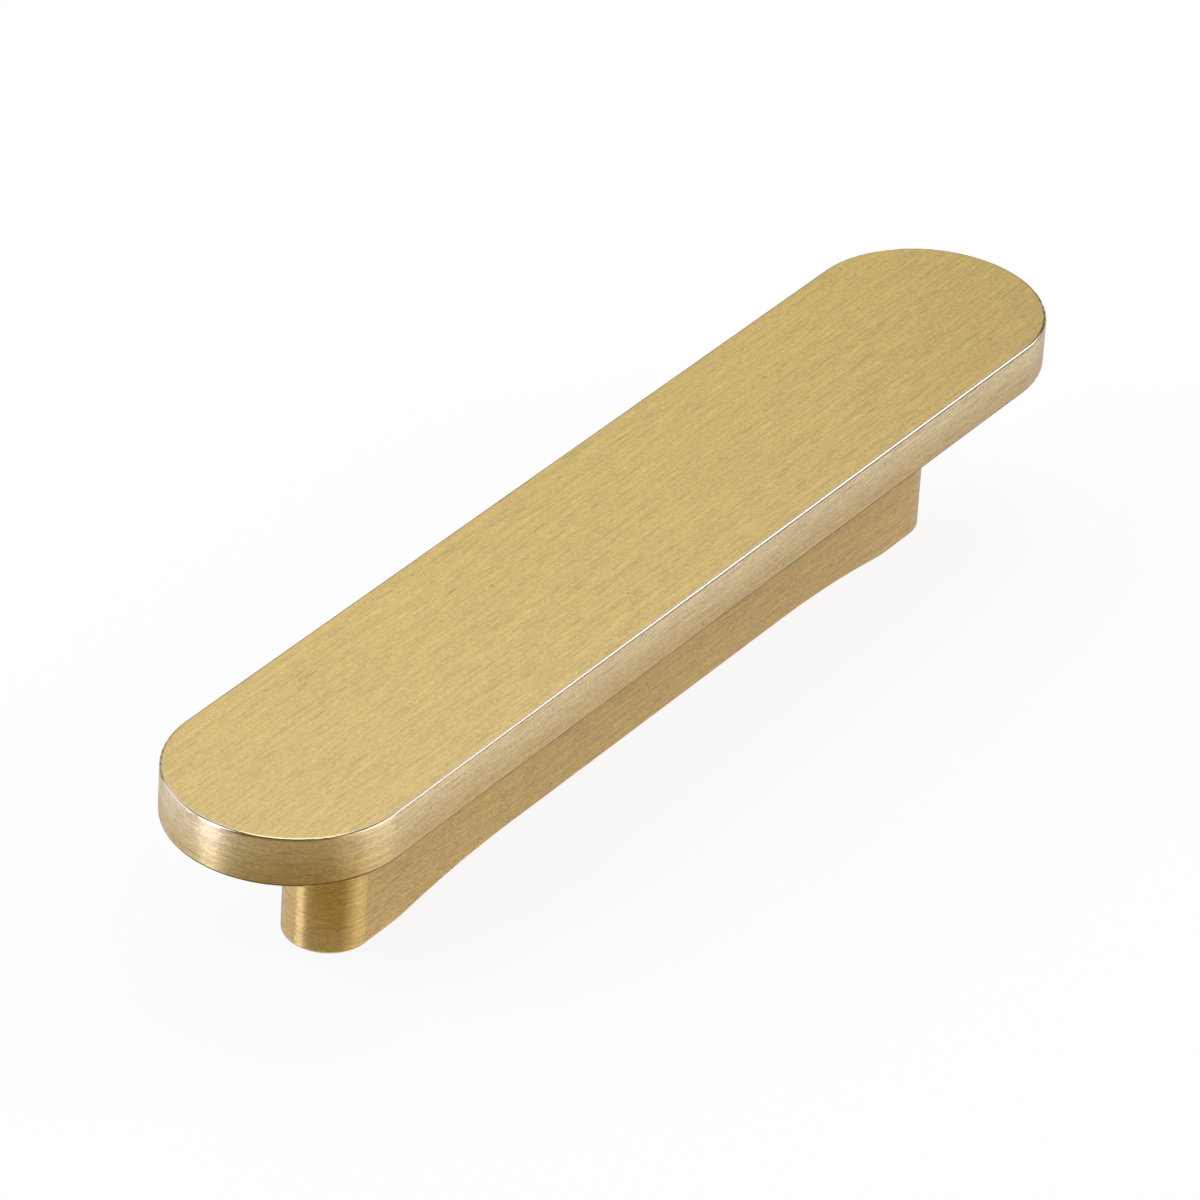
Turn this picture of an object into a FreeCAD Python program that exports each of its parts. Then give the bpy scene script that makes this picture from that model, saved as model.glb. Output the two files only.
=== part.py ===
# Brushed brass cabinet pull: a flat round-ended bar on a narrower rib, which stands on two feet.
# The bar overhangs the rib all round, so fingers hook under either long side. Two tapped blind holes
# in the feet take the screws that come through the door.
#
# Frame, in millimetres: the origin is on the door face, midway between the two screw holes.
# +X runs along the bar, +Y across it, and +Z out of the door, towards the hand.

import FreeCAD, Part
import math
import os

from FreeCAD import Vector

# Driving dimensions, in millimetres
HOLE_SPACING = 96.0  # centre to centre of the two screws
RIB_WIDTH = 9.0  # the rib's ends are half rounds of this width, centred on the screws
RIB_HEIGHT = 17.0  # door face to the bar's underside, the room for fingers
BAR_THICKNESS = 5.5
END_OVERHANG = 15.0  # bar past the rib, at each end
SIDE_OVERHANG = 8.0  # bar past the rib, on each side

# The rib's underside: a foot at each end and a shallow recess between them
FOOT_LENGTH = 9.0  # flat length that meets the door, from the rib's end
RECESS_DEPTH = 1.4
FOOT_ROLL_RADIUS = 15.0  # rounds the foot's inner edge over into the recess
RECESS_END_RADIUS = 120.0  # sweeps from there up to the recess roof

# The tapped holes, with their thread left plain at its major diameter
SCREW_DIAMETER = 4.0
HOLE_DEPTH = 12.0  # full diameter, from the foot's face
DRILL_POINT_ANGLE = 118.0  # degrees, at the blind end
HOLE_MOUTH_CHAMFER = 0.4

# Edges as they leave the linishing belt, and the corner under the bar
BAR_TOP_EDGE_RADIUS = 0.35
BAR_BOTTOM_EDGE_RADIUS = 0.5
RIB_FOOT_EDGE_RADIUS = 0.4
UNDER_BAR_CORNER_RADIUS = 0.5

# Sizes that follow from the ones above
RIB_LENGTH = HOLE_SPACING + RIB_WIDTH
BAR_LENGTH = RIB_LENGTH + 2 * END_OVERHANG
BAR_WIDTH = RIB_WIDTH + 2 * SIDE_OVERHANG
BAR_TOP = RIB_HEIGHT + BAR_THICKNESS
NODE_NAME = "pull_body"
NEAR = 1e-6  # how close two lengths are to count as the same


def round_ended_block(length, width, bottom, height):
    """A slab with half-round ends, centred on the Z axis and standing on the plane z = bottom."""
    radius = width / 2
    run = length / 2 - radius
    outline = Part.Wire(
        [
            Part.LineSegment(Vector(-run, -radius, bottom), Vector(run, -radius, bottom)).toShape(),
            Part.Arc(
                Vector(run, -radius, bottom), Vector(run + radius, 0, bottom), Vector(run, radius, bottom)
            ).toShape(),
            Part.LineSegment(Vector(run, radius, bottom), Vector(-run, radius, bottom)).toShape(),
            Part.Arc(
                Vector(-run, radius, bottom), Vector(-run - radius, 0, bottom), Vector(-run, -radius, bottom)
            ).toShape(),
        ]
    )
    return Part.Face(outline).extrude(Vector(0, 0, height))


def edges_at_height(shape, height):
    """The edges of a shape that lie in the level plane at this height."""
    return [
        edge
        for edge in shape.Edges
        if abs(edge.BoundBox.ZMin - height) < NEAR and abs(edge.BoundBox.ZMax - height) < NEAR
    ]


def bar():
    """The flat bar that the hand pulls, with its rims softened by the belt."""
    block = round_ended_block(BAR_LENGTH, BAR_WIDTH, RIB_HEIGHT, BAR_THICKNESS)
    block = block.makeFillet(BAR_TOP_EDGE_RADIUS, edges_at_height(block, BAR_TOP))
    return block.makeFillet(BAR_BOTTOM_EDGE_RADIUS, edges_at_height(block, RIB_HEIGHT))


def arc_through(centre, radius, start_angle, end_angle):
    """An arc in the XZ plane, with angles in radians from +X towards +Z."""

    def point(angle):
        return centre + Vector(radius * math.cos(angle), 0, radius * math.sin(angle))

    middle_angle = (start_angle + end_angle) / 2
    return Part.Arc(point(start_angle), point(middle_angle), point(end_angle))


def recess():
    """What is cut from under the rib: a long low hollow whose ends roll down to the feet in an S."""
    foot_inner_end = RIB_LENGTH / 2 - FOOT_LENGTH
    radii = FOOT_ROLL_RADIUS + RECESS_END_RADIUS
    swing = math.acos(1 - RECESS_DEPTH / radii)  # how far each of the two tangent arcs turns
    roof_end = foot_inner_end - radii * math.sin(swing)
    up = math.pi / 2
    edges = []
    for side in (1, -1):
        roll = arc_through(
            Vector(side * foot_inner_end, 0, FOOT_ROLL_RADIUS), FOOT_ROLL_RADIUS, -up, -up - side * swing
        )
        sweep = arc_through(
            Vector(side * roof_end, 0, RECESS_DEPTH - RECESS_END_RADIUS),
            RECESS_END_RADIUS,
            up - side * swing,
            up,
        )
        edges += [roll.toShape(), sweep.toShape()]
    roof = Part.LineSegment(Vector(-roof_end, 0, RECESS_DEPTH), Vector(roof_end, 0, RECESS_DEPTH))
    floor = Part.LineSegment(Vector(-foot_inner_end, 0, 0), Vector(foot_inner_end, 0, 0))
    edges += [roof.toShape(), floor.toShape()]
    outline = Part.Wire(Part.__sortEdges__(edges))
    hollow = Part.Face(outline).extrude(Vector(0, 2 * RIB_WIDTH, 0))
    hollow.translate(Vector(0, -RIB_WIDTH, 0))
    return hollow


def runs_across(edge):
    """True for a straight edge along Y, such as those between the foot, the S and the roof."""
    box = edge.BoundBox
    return box.XLength < NEAR and box.ZLength < NEAR


def rib():
    """The wall under the bar, standing on its two feet, with the lower rim softened all round."""
    wall = round_ended_block(RIB_LENGTH, RIB_WIDTH, 0, RIB_HEIGHT).cut(recess())
    lower_rim = [
        edge
        for edge in wall.Edges
        if edge.BoundBox.ZMax < RECESS_DEPTH + NEAR and not runs_across(edge)
    ]
    return wall.makeFillet(RIB_FOOT_EDGE_RADIUS, lower_rim)


def screw_hole(x):
    """A tapped blind hole up into a foot: chamfered mouth, plain wall and the drill's point."""
    radius = SCREW_DIAMETER / 2
    point_height = radius / math.tan(math.radians(DRILL_POINT_ANGLE / 2))
    mouth_radius = radius + HOLE_MOUTH_CHAMFER
    half_section = Part.makePolygon(
        [
            Vector(0, 0, 0),
            Vector(mouth_radius, 0, 0),
            Vector(radius, 0, HOLE_MOUTH_CHAMFER),
            Vector(radius, 0, HOLE_DEPTH),
            Vector(0, 0, HOLE_DEPTH + point_height),
            Vector(0, 0, 0),
        ]
    )
    hole = Part.Face(half_section).revolve(Vector(0, 0, 0), Vector(0, 0, 1), 360)
    hole.translate(Vector(x, 0, 0))
    return hole


def corner_under_bar(shape):
    """The edges where the rib's wall meets the bar's underside."""
    inside_rim = BAR_WIDTH / 2 - SIDE_OVERHANG / 2
    return [
        edge
        for edge in edges_at_height(shape, RIB_HEIGHT)
        if edge.BoundBox.YMax < inside_rim and edge.BoundBox.YMin > -inside_rim
    ]


def pull_body():
    """The whole pull: one piece of brass."""
    body = bar().fuse(rib()).removeSplitter()
    body = body.makeFillet(UNDER_BAR_CORNER_RADIUS, corner_under_bar(body))
    for side in (1, -1):
        body = body.cut(screw_hole(side * HOLE_SPACING / 2))
    return body


os.makedirs("parts", exist_ok=True)
pull = pull_body()
solid = pull.Solids[0]
solid.exportStep(os.path.join("parts", NODE_NAME + ".step"))
print(NODE_NAME, "solids", len(pull.Solids), "valid", pull.isValid(), "volume", round(pull.Volume, 1))
print("box", pull.BoundBox)
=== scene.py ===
import math

import bmesh
import bpy
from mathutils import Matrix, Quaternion, Vector


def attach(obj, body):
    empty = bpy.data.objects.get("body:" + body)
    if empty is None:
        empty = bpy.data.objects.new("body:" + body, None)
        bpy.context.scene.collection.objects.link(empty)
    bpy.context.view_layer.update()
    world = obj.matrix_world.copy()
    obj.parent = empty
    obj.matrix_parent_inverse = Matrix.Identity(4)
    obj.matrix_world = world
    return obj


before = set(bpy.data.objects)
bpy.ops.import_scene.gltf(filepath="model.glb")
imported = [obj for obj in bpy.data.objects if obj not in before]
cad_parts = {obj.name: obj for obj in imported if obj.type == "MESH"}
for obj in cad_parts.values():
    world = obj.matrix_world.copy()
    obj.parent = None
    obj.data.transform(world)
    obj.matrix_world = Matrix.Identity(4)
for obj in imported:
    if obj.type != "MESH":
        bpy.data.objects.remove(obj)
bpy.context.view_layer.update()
scene = bpy.context.scene

# The pull itself: one solid piece of brass, a round-ended bar on a narrower rib. It is milled to shape,
# then brushed on a belt: lengthwise on the bar's face, and along the walls all the way round. The belt
# leaves the edges a little softened and burnished, and the finish is satin. Its colours also hold painted
# light and shade: a painted highlight on the edges, painted shade on the bar's lower rim, walls painted
# darker towards the bottom, and a rib darker and more orange than the bar, partly as painted shade.
MM = 0.001
BAR_STRAIGHT = 55.0  # middle of the bar to the centre of each round end, in mm as all the lengths here
BAR_HALF_WIDTH = 12.5
RIB_STRAIGHT = 48.0  # the same for the rib, whose screw holes are on these centres
RIB_HALF_WIDTH = 4.5
BAR_TOP = 22.5
BAR_UNDERSIDE = 17.0
BAR_TOP_EDGE = 0.35  # radii that the belt leaves on the bar's two rims
BAR_LOW_EDGE = 0.5
HAIR = 0.01  # lets the bar's underside count as the bar
CORNER_DEPTH = 1.0  # the part of the rib next to the bar, which the belt doesn't reach and which gets no painted edge highlight
FACE_BRASS = (0.580, 0.403, 0.090, 1)
# Painted light and shade on the walls: their brass is darker towards the bottom and lighter towards the top
WALL_BRASS_SHADED = (0.515, 0.353, 0.112, 1)
WALL_BRASS_LIT = (0.640, 0.480, 0.205, 1)
WALL_RISE = (17.5, 22.2)  # heights between which the wall goes from the shaded to the lit colour: painted shade, darker towards the bottom
# The rib's brass is darker and more orange than the bar's: partly its own tone, partly painted shade from
# under the bar's overhang
RIB_BRASS = (0.540, 0.347, 0.093, 1)
# Painted highlight: a paler colour on the edges, so that their thin lines of highlight show whiter
PAINTED_EDGE_HIGHLIGHT = (0.54, 0.41, 0.18, 1)
# Painted shade: a dark brown along the bar's downward-facing lower rim
PAINTED_RIM_SHADE = (0.20, 0.105, 0.025, 1)

# Slopes, from 0 for a wall to 1 for a level face, between which each kind of surface starts
LEVEL_FROM = (0.5, 0.9)
EDGE_FROM = (0.08, 0.25)
EDGE_TO = (0.975, 0.998)
RIM_SHADE_FROM = (0.0, 0.1)
LENGTHWISE_FROM = 0.7

# The brush marks: length and width of each kind, and how far it lightens or darkens the metal
FINE_SIZE, FINE_TONE = (3.5, 0.18), 0.18
GRAIN_SIZE, GRAIN_TONE = (0.32, 0.26), 0.17
LINE_SIZE, LINE_TONE = (9.0, 0.28), 0.08
SCRATCH_SIZE, SCRATCH_TONE = (2.6, 0.3), 0.17
PIT_SIZE, PIT_TONE = (0.4, 0.36), 0.45
SCRATCH_RARITY = 0.94  # only marks whose tone is beyond this are scratches, and likewise for the pits
PIT_RARITY = 0.9996
PIT_RIM = (0.2, 0.5)
ROWS_APART = 300.0  # keeps the chance tones of one kind of mark from those of the next
PACE_LEAST, PACE_SPREAD = 0.6, 0.8  # so that one row's marks are shorter or longer than the next row's
ROW_SHIFT = 50.0
WALL_FINENESS = 1.4  # the marks on the walls are narrower, and deeper
WALL_DEPTH = 1.3
WALL_CHATTER_SIZE, WALL_CHATTER = (1.6, 0.2), 0.05
FACE_CHATTER_SIZE, FACE_CHATTER = (4.0, 0.25), 0.003

WALL_ROUGHNESS, WALL_STRETCH = 0.41, 1.0  # the marks stretch a highlight up and down the walls
FACE_ROUGHNESS, FACE_STRETCH = 0.34, 0.0
STRETCH_TURN = 0.25
FINE_ROUGHNESS = 0.05
BURNISH = 0.45
# Roughness and metal cover for the painted shade on the bar's lower rim
RIM_SHADE_ROUGHNESS = 0.35
RIM_SHADE_COVER = 0.6
WALL_LACQUER = 0.35
LACQUER_ROUGHNESS = 0.25
LACQUER_IOR = 1.5


class Wire:
    """An output socket in a material's nodes. Arithmetic on it adds Math nodes."""

    def __init__(self, tree, socket=None):
        self.tree = tree
        self.socket = socket

    def node(self, kind, settings=None, inputs=None, output=0):
        """Adds a node: its settings first, then values or wires for its sockets, by name or number."""
        made = self.tree.nodes.new(kind)
        for name, value in (settings or {}).items():
            setattr(made, name, value)
        for key, value in (inputs or {}).items():
            if isinstance(value, Wire):
                self.tree.links.new(value.socket, made.inputs[key])
            else:
                made.inputs[key].default_value = value
        return Wire(self.tree, made.outputs[output]) if made.outputs else None

    def math(self, operation, *operands):
        return self.node("ShaderNodeMath", {"operation": operation}, dict(enumerate(operands)))

    def __add__(self, other):
        return self.math("ADD", self, other)

    def __radd__(self, other):
        return self.math("ADD", other, self)

    def __sub__(self, other):
        return self.math("SUBTRACT", self, other)

    def __rsub__(self, other):
        return self.math("SUBTRACT", other, self)

    def __mul__(self, other):
        return self.math("MULTIPLY", self, other)

    def __rmul__(self, other):
        return self.math("MULTIPLY", other, self)

    def __abs__(self):
        return self.math("ABSOLUTE", self)

    def step(self, low, high):
        """0 below low, 1 above high, and a smooth rise between."""
        return self.node(
            "ShaderNodeMapRange",
            {"interpolation_type": "SMOOTHSTEP"},
            {"Value": self, "From Min": low, "From Max": high},
        )

    def part(self, axis):
        """One of the three numbers in a vector."""
        return self.node("ShaderNodeSeparateXYZ", inputs={0: self}, output=axis)

    def vector(self, operation, *operands, output="Vector"):
        """Vector Math on this wire."""
        return self.node(
            "ShaderNodeVectorMath", {"operation": operation}, dict(enumerate((self, *operands))), output
        )

    def scaled(self, amount):
        """A vector or colour times a number."""
        return self.node("ShaderNodeVectorMath", {"operation": "SCALE"}, {0: self, "Scale": amount})

    def at_least(self, low):
        return self.math("MAXIMUM", self, low)

    def floor(self):
        return self.math("FLOOR", self)

    def above(self, limit):
        """1 above the limit, and 0 below it."""
        return self.math("GREATER_THAN", self, limit)

    def blend(self, before, after):
        """One colour where this wire is 0, and another where it is 1: the Mix node's sockets 6 and 7."""
        return self.node(
            "ShaderNodeMix", {"data_type": "RGBA"}, {0: self, 6: before, 7: after}, output=2
        )


def new_material(name):
    """An empty node material, and a wire to build it with."""
    material = bpy.data.materials.new(name)
    material.use_nodes = True
    material.node_tree.nodes.clear()
    return material, Wire(material.node_tree)


def brushed_brass():
    """Brass as the belt leaves it, under a thin lacquer, with marks that follow the pull's form and painted
    light and shade.
    """
    material, wire = new_material("brushed_brass")
    place = wire.node("ShaderNodeTexCoord", output="Object").scaled(1 / MM)
    x, y, z = (place.part(axis) for axis in "XYZ")

    # The bar's normals follow its form exactly, so that the thin rims shine in clean lines
    on_bar = z.above(BAR_UNDERSIDE - HAIR)
    straight = RIB_STRAIGHT + (BAR_STRAIGHT - RIB_STRAIGHT) * on_bar
    past_straight = (abs(x) - straight).at_least(0.0)
    end = x.math("SIGN", x)
    outward = wire.node("ShaderNodeCombineXYZ", inputs={"X": past_straight * end, "Y": y})
    reach = outward.vector("LENGTH", output="Value")
    upper_half = z.above((BAR_TOP + BAR_UNDERSIDE) / 2)
    edge_start = BAR_HALF_WIDTH - BAR_LOW_EDGE + (BAR_LOW_EDGE - BAR_TOP_EDGE) * upper_half
    rise = (z - (BAR_TOP - BAR_TOP_EDGE)).at_least(0.0)
    fall = (BAR_UNDERSIDE + BAR_LOW_EDGE - z).at_least(0.0)
    upward = wire.node("ShaderNodeCombineXYZ", inputs={"Z": rise - fall})
    bar_normal = outward.vector("NORMALIZE").scaled((reach - edge_start).at_least(0.0))
    bar_normal = bar_normal.vector("ADD", upward).vector("NORMALIZE")
    normal = wire.node(
        "ShaderNodeMix",
        {"data_type": "VECTOR"},
        {0: on_bar, 4: wire.node("ShaderNodeTexCoord", output="Normal"), 5: bar_normal},
        output=1,
    )  # sockets 4 and 5 are the node's two vectors, and output 1 is its vector

    # The face, the walls and the edges between them; the bar's lower rim gets painted shade
    facing_up = normal.part("Z")
    slope = abs(facing_up)
    level = slope.step(*LEVEL_FROM)  # the bar's face, its underside and the feet
    on_face = facing_up.step(*LEVEL_FROM)
    in_corner = z.above(BAR_UNDERSIDE - CORNER_DEPTH) * (1 - on_bar)
    on_edge = slope.step(*EDGE_FROM) * (1 - slope.step(*EDGE_TO)) * (1 - in_corner)
    # Painted shade: the bar's rim where it faces downwards
    rim_shade = on_edge * on_bar * (-1 * facing_up).step(*RIM_SHADE_FROM)

    # The brush runs lengthwise on level faces, and round the walls on a line of constant height
    radius = RIB_HALF_WIDTH + (BAR_HALF_WIDTH - RIB_HALF_WIDTH) * on_bar
    turn = y.math("ARCTAN2", y, past_straight) + math.pi / 2
    girth = end * (abs(x) - past_straight + radius * turn)
    lengthwise = slope.above(LENGTHWISE_FROM)
    along = girth + lengthwise * (x - girth)
    across = WALL_FINENESS * z + lengthwise * (y - WALL_FINENESS * z)

    def ripple(size):
        """Smooth noise, drawn out along the brush."""
        length, width = size
        drawn_out = wire.node(
            "ShaderNodeCombineXYZ", inputs={"X": along * (1 / length), "Y": across * (1 / width)}
        )
        return wire.node(
            "ShaderNodeTexNoise", {"noise_dimensions": "2D"}, {"Vector": drawn_out, "Scale": 1.0}
        )

    def hump(share):
        """0 at both ends of a run from 0 to 1, and 1 in its middle."""
        return 4 * share * (1 - share)

    def marks(size, kind):
        """Straight brush marks side by side: the tone of each from -1 to 1, and how it fades to its rim."""
        length, width = size
        rows = across * (1 / width) + ROWS_APART * kind
        row = rows.floor()
        shift = wire.node("ShaderNodeTexWhiteNoise", {"noise_dimensions": "1D"}, {"W": row})
        runs = along * (PACE_LEAST + PACE_SPREAD * shift) * (1 / length) + ROW_SHIFT * shift
        run = runs.floor()
        cell = wire.node("ShaderNodeCombineXYZ", inputs={"X": run, "Y": row})
        tone = wire.node("ShaderNodeTexWhiteNoise", {"noise_dimensions": "2D"}, {"Vector": cell})
        return 2 * tone - 1, hump(rows - row) * hump(runs - run)

    def strokes(size, kind):
        """Brush marks that are lighter or darker than the metal between them, from -1 to 1."""
        tone, fade = marks(size, kind)
        return tone * fade

    fine = strokes(FINE_SIZE, 0)
    grain = strokes(GRAIN_SIZE, 1)
    lines = strokes(LINE_SIZE, 2)
    scratch, scratch_fade = marks(SCRATCH_SIZE, 3)
    scratch = (scratch.above(SCRATCH_RARITY) - (-1 * scratch).above(SCRATCH_RARITY)) * scratch_fade
    pit, pit_fade = marks(PIT_SIZE, 4)
    pit = pit.above(PIT_RARITY) * pit_fade.step(*PIT_RIM)
    brushing = FINE_TONE * fine + GRAIN_TONE * grain + LINE_TONE * lines + SCRATCH_TONE * scratch
    depth = WALL_DEPTH + (1 - WALL_DEPTH) * level
    tone = 1 + depth * brushing - PIT_TONE * pit
    # Painted shade: the walls darker towards the bottom, lighter towards the top
    wall = z.step(*WALL_RISE).blend(WALL_BRASS_SHADED, WALL_BRASS_LIT)
    # The rib's brass is partly painted shade from under the bar
    metal = on_face.blend(on_bar.blend(RIB_BRASS, wall), FACE_BRASS).scaled(tone)
    # A painted highlight on the edges, and painted shade on the bar's lower rim
    colour = rim_shade.blend(on_edge.blend(metal, PAINTED_EDGE_HIGHLIGHT), PAINTED_RIM_SHADE)

    wall_chatter = WALL_CHATTER * ripple(WALL_CHATTER_SIZE) * (1 - level)
    chatter = wall_chatter + FACE_CHATTER * ripple(FACE_CHATTER_SIZE)
    bump = wire.node(
        "ShaderNodeBump",
        inputs={"Strength": 1.0, "Distance": MM, "Height": chatter * (1 - on_edge), "Normal": normal},
    )
    burnish = 1 - BURNISH * on_edge
    lacquer = (WALL_LACQUER + (1 - WALL_LACQUER) * level) * (1 - rim_shade)
    finishes = []
    for roughness, stretch in ((WALL_ROUGHNESS, WALL_STRETCH), (FACE_ROUGHNESS, FACE_STRETCH)):
        finishes.append(
            wire.node(
                "ShaderNodeBsdfPrincipled",
                inputs={
                    "Base Color": colour,
                    "Metallic": 1 - RIM_SHADE_COVER * rim_shade,
                    "Roughness": (roughness + FINE_ROUGHNESS * fine) * burnish + RIM_SHADE_ROUGHNESS * rim_shade,
                    "Anisotropic": stretch,
                    "Anisotropic Rotation": STRETCH_TURN,
                    "Normal": bump,
                    "Coat Weight": lacquer,
                    "Coat Roughness": LACQUER_ROUGHNESS,
                    "Coat IOR": LACQUER_IOR,
                },
            )
        )
    walls, faces = finishes
    shader = wire.node("ShaderNodeMixShader", inputs={0: level, 1: walls, 2: faces})
    wire.node("ShaderNodeOutputMaterial", inputs={"Surface": shader})
    return material


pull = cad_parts["pull_body"]
pull.data.materials.clear()
pull.data.materials.append(brushed_brass())

# The screw threads: an M4 tap cuts one in each hole in the feet. What stands between its turns is a
# ridge of the pull's own brass, bright from the cut, that winds up the wall and fades out at its ends.
THREAD_PITCH = 0.7
THREAD_ROOT = 2.03  # radii, in mm; the root is just inside the wall, so that the ridge grows out of it
THREAD_CREST = 1.62
THREAD_START = 0.75  # heights of the ridge's middle at its two ends, in mm
THREAD_END = 10.6
ROOT_HALF_WIDTH = 0.31
CREST_HALF_WIDTH = 0.09
TURN_STEPS = 40
FADE_TURNS = 0.6
TIP_TURNS = 0.05  # what the ridge has already grown at its very tip
CUT_MARK_SIZE = (2, 2, 0.05)
CUT_MARK_DETAIL = 2.0
CUT_MARK_DEPTH = 0.002
CUT_ROUGHNESS, CUT_ROUGHNESS_SPREAD = 0.2, 0.15


def thread_mesh(name, x):
    """A ridge wound up the hole at x, with four corners in its section and a closed end at each end."""
    turns = (THREAD_END - THREAD_START) / THREAD_PITCH
    count = round(turns * TURN_STEPS)
    built = bmesh.new()
    rings = []
    for i in range(count + 1):
        turn = i / TURN_STEPS
        angle = 2 * math.pi * turn
        turns_left = count / TURN_STEPS - turn
        grown = min(1.0, (turn + TIP_TURNS) / FADE_TURNS, (turns_left + TIP_TURNS) / FADE_TURNS)
        crest = THREAD_ROOT + (THREAD_CREST - THREAD_ROOT) * grown
        half_root = CREST_HALF_WIDTH + (ROOT_HALF_WIDTH - CREST_HALF_WIDTH) * grown
        z = THREAD_START + THREAD_PITCH * turn
        section = (
            (THREAD_ROOT, z - half_root),
            (crest, z - CREST_HALF_WIDTH),
            (crest, z + CREST_HALF_WIDTH),
            (THREAD_ROOT, z + half_root),
        )
        rings.append(
            [
                built.verts.new(Vector((x + away * math.cos(angle), away * math.sin(angle), height)) * MM)
                for away, height in section
            ]
        )
    for low, high in zip(rings, rings[1:]):
        for corner in range(len(low)):
            following = (corner + 1) % len(low)
            built.faces.new((low[corner], low[following], high[following], high[corner]))
    built.faces.new(rings[0])
    built.faces.new(rings[-1])
    bmesh.ops.recalc_face_normals(built, faces=built.faces)
    mesh = bpy.data.meshes.new(name)
    built.to_mesh(mesh)
    built.free()
    return mesh


def cut_brass():
    """Brass as the tap leaves it: brighter than the brushed walls, with fine marks along the turns."""
    material, wire = new_material("cut_brass")
    place = wire.node("ShaderNodeTexCoord", output="Object").scaled(1 / MM)
    drawn_out = wire.node(
        "ShaderNodeMapping", {"vector_type": "TEXTURE"}, {"Vector": place, "Scale": CUT_MARK_SIZE}
    )
    marks = wire.node(
        "ShaderNodeTexNoise", inputs={"Vector": drawn_out, "Scale": 1.0, "Detail": CUT_MARK_DETAIL}
    )
    bump = wire.node(
        "ShaderNodeBump", inputs={"Strength": 1.0, "Distance": MM, "Height": CUT_MARK_DEPTH * marks}
    )
    shader = wire.node(
        "ShaderNodeBsdfPrincipled",
        inputs={
            "Base Color": marks.blend(RIB_BRASS, WALL_BRASS_LIT),
            "Metallic": 1.0,
            "Roughness": CUT_ROUGHNESS + CUT_ROUGHNESS_SPREAD * marks,
            "Normal": bump,
        },
    )
    wire.node("ShaderNodeOutputMaterial", inputs={"Surface": shader})
    return material


thread_brass = cut_brass()
for thread_name, side in (("left_screw_thread", -1), ("right_screw_thread", 1)):
    thread = bpy.data.objects.new(thread_name, thread_mesh(thread_name, side * RIB_STRAIGHT))
    thread.data.materials.append(thread_brass)
    scene.collection.objects.link(thread)
    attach(thread, "root")

# The setting: a sheet of white paper, soft boxes round the pull, and the camera of the photograph.
# The paper shows mostly its own white and a little of what falls on it, so the pull's shadow stays pale.
# A tan card lies before the near foot, unseen itself, and darkens what that foot mirrors: it is painted
# shade, a sheet that glows a dim tan and shows only in reflections.
FLOOR_REACH = 6.0  # in metres
FLOOR_CORNERS = ((-1, -1), (1, -1), (1, 1), (-1, 1))
FLOOR_DROP = 0.02 * MM  # a hair below the feet, so that no two faces coincide
MATT_PAPER = (0.92, 0.86, 0.68, 1)
OWN_WHITE = 0.88  # share of the paper's look that is its own white
CARD_AZIMUTH = math.radians(-137.0)  # seen from the near screw's axis
CARD_AWAY = 28.0  # from that axis to the card's middle, in mm
CARD_RADIUS = 20.0
CARD_LIFT = 0.3
CARD_CORNERS = 32
CARD_TAN = (0.68, 0.56, 0.34, 1)


def flat_sheet(name, corners, material):
    """A level sheet with these corners, put in the scene."""
    mesh = bpy.data.meshes.new(name)
    mesh.from_pydata(corners, [], [range(len(corners))])
    mesh.materials.append(material)
    sheet = bpy.data.objects.new(name, mesh)
    scene.collection.objects.link(sheet)
    return sheet


paper, wire = new_material("white_paper")
matt = wire.node("ShaderNodeBsdfDiffuse", inputs={"Color": MATT_PAPER})
glow = wire.node("ShaderNodeEmission", inputs={"Strength": 1.0})
lifted = wire.node("ShaderNodeMixShader", inputs={0: OWN_WHITE, 1: matt, 2: glow})
seen = (
    wire.node("ShaderNodeLightPath", output="Is Camera Ray")
    + wire.node("ShaderNodeLightPath", output="Is Glossy Ray")
    + wire.node("ShaderNodeLightPath", output="Is Transmission Ray")
)
shown = wire.node("ShaderNodeMixShader", inputs={0: seen, 1: matt, 2: lifted})
wire.node("ShaderNodeOutputMaterial", inputs={"Surface": shown})
floor_rim = [(FLOOR_REACH * x, FLOOR_REACH * y, -FLOOR_DROP) for x, y in FLOOR_CORNERS]
floor = flat_sheet("floor", floor_rim, paper)

tan, wire = new_material("shade_card")
glow = wire.node("ShaderNodeEmission", inputs={"Color": CARD_TAN, "Strength": 1.0})
wire.node("ShaderNodeOutputMaterial", inputs={"Surface": glow})
card_away = CARD_AWAY * Vector((math.cos(CARD_AZIMUTH), math.sin(CARD_AZIMUTH), 0))
card_middle = Vector((-RIB_STRAIGHT, 0, CARD_LIFT)) + card_away
card_rim = []
for i in range(CARD_CORNERS):
    angle = 2 * math.pi * i / CARD_CORNERS
    card_rim.append((card_middle + CARD_RADIUS * Vector((math.cos(angle), math.sin(angle), 0))) * MM)
card = flat_sheet("shade_card", card_rim, tan)
card.visible_camera = False
card.visible_shadow = False
card.visible_diffuse = False

ROOM_SHADE = (0.09, 0.065, 0.04, 1)
scene.world = bpy.data.worlds.new("room")
scene.world.use_nodes = True
scene.world.node_tree.nodes["Background"].inputs["Color"].default_value = ROOM_SHADE

LAMP_DISTANCE = 0.8  # in metres, as the lamps' widths and heights
WHITE = (1.0, 1.0, 1.0)
PALE = (0.95, 1.03, 1.5)
COOL = (0.9, 1.06, 2.1)
WARM = (1.0, 0.97, 0.7)


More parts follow.
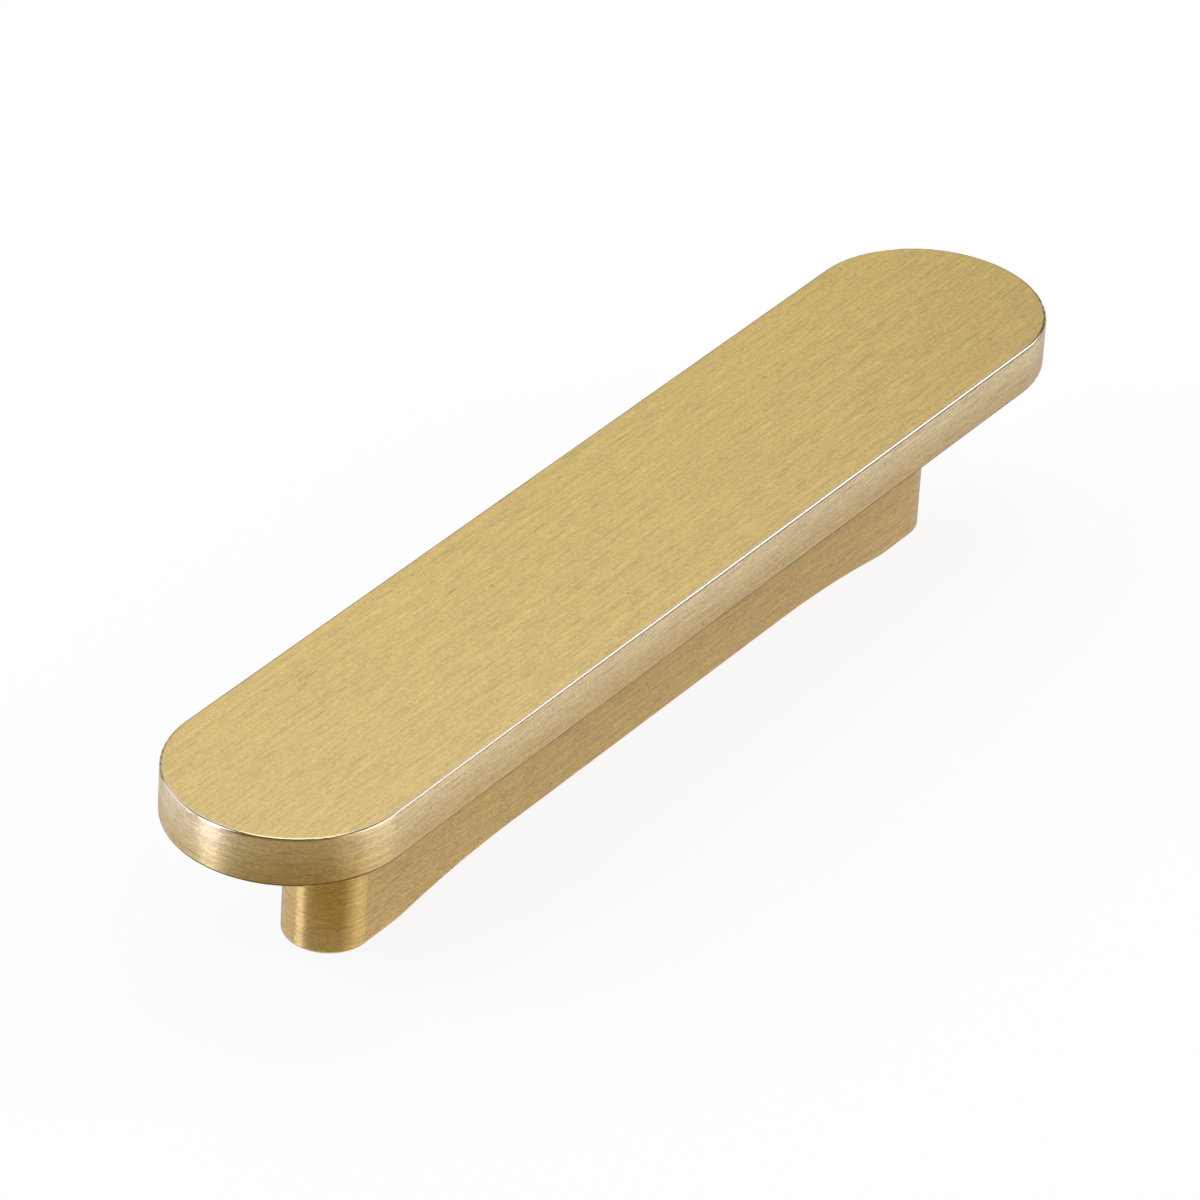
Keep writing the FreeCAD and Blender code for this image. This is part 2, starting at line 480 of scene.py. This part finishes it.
def soft_box(name, azimuth, elevation, width, height, radiance, tint):
    """A soft box facing the pull. Azimuth is from +X towards +Y; radiance 1 shows as white."""
    turn = math.radians(azimuth)
    lift = math.radians(elevation)
    away = Vector((math.cos(turn) * math.cos(lift), math.sin(turn) * math.cos(lift), math.sin(lift)))
    lamp = bpy.data.lights.new(name, "AREA")
    lamp.shape = "RECTANGLE"
    lamp.size = width
    lamp.size_y = height
    lamp.energy = radiance * math.pi * width * height
    lamp.color = tint
    holder = bpy.data.objects.new(name, lamp)
    holder.location = away * LAMP_DISTANCE
    holder.rotation_mode = "QUATERNION"
    holder.rotation_quaternion = (-away).to_track_quat("-Z", "Y")
    holder.visible_camera = False
    scene.collection.objects.link(holder)


soft_box("left_box", 149, 25, 0.27, 0.75, 5.2, COOL)
soft_box("left_strip", 132, 12, 0.16, 0.4, 1.2, COOL)
soft_box("left_card", 110, 22, 0.6, 0.6, 1.68, COOL)
soft_box("right_box", -68, 24, 0.5, 0.7, 2.55, PALE)
soft_box("right_feather", -98, 24, 0.26, 0.7, 1.0, WHITE)
soft_box("right_card", -42, 33, 0.28, 0.4, 0.6, PALE)
soft_box("far_card", -23, 33, 0.3, 0.4, 3.1, COOL)
soft_box("top_box", 33, 86, 0.5, 0.36, 3.2, WHITE)
soft_box("back_box", 43.5, 55, 0.8, 0.55, 1.27, PALE)
soft_box("back_card", 52.5, 28, 0.7, 0.2, 1.08, WARM)
soft_box("front_card", -147, 26, 0.9, 0.5, 0.23, WARM)

LENS = 264.3
SENSOR = 36.0
CAMERA_PLACE = Vector((-620.9, -400.8, 484.3)) * MM
CAMERA_AIM = Vector((-12.5, -5.95, 22.5)) * MM
CAMERA_ROLL = math.radians(3.55)
camera_data = bpy.data.cameras.new("camera")
camera_data.lens = LENS
camera_data.sensor_width = SENSOR
camera = bpy.data.objects.new("camera", camera_data)
camera.location = CAMERA_PLACE
camera.rotation_mode = "QUATERNION"
look = (CAMERA_AIM - CAMERA_PLACE).to_track_quat("-Z", "Y")
camera.rotation_quaternion = look @ Quaternion((0, 0, 1), CAMERA_ROLL)
scene.collection.objects.link(camera)
scene.camera = camera
scene.view_settings.view_transform = "Standard"
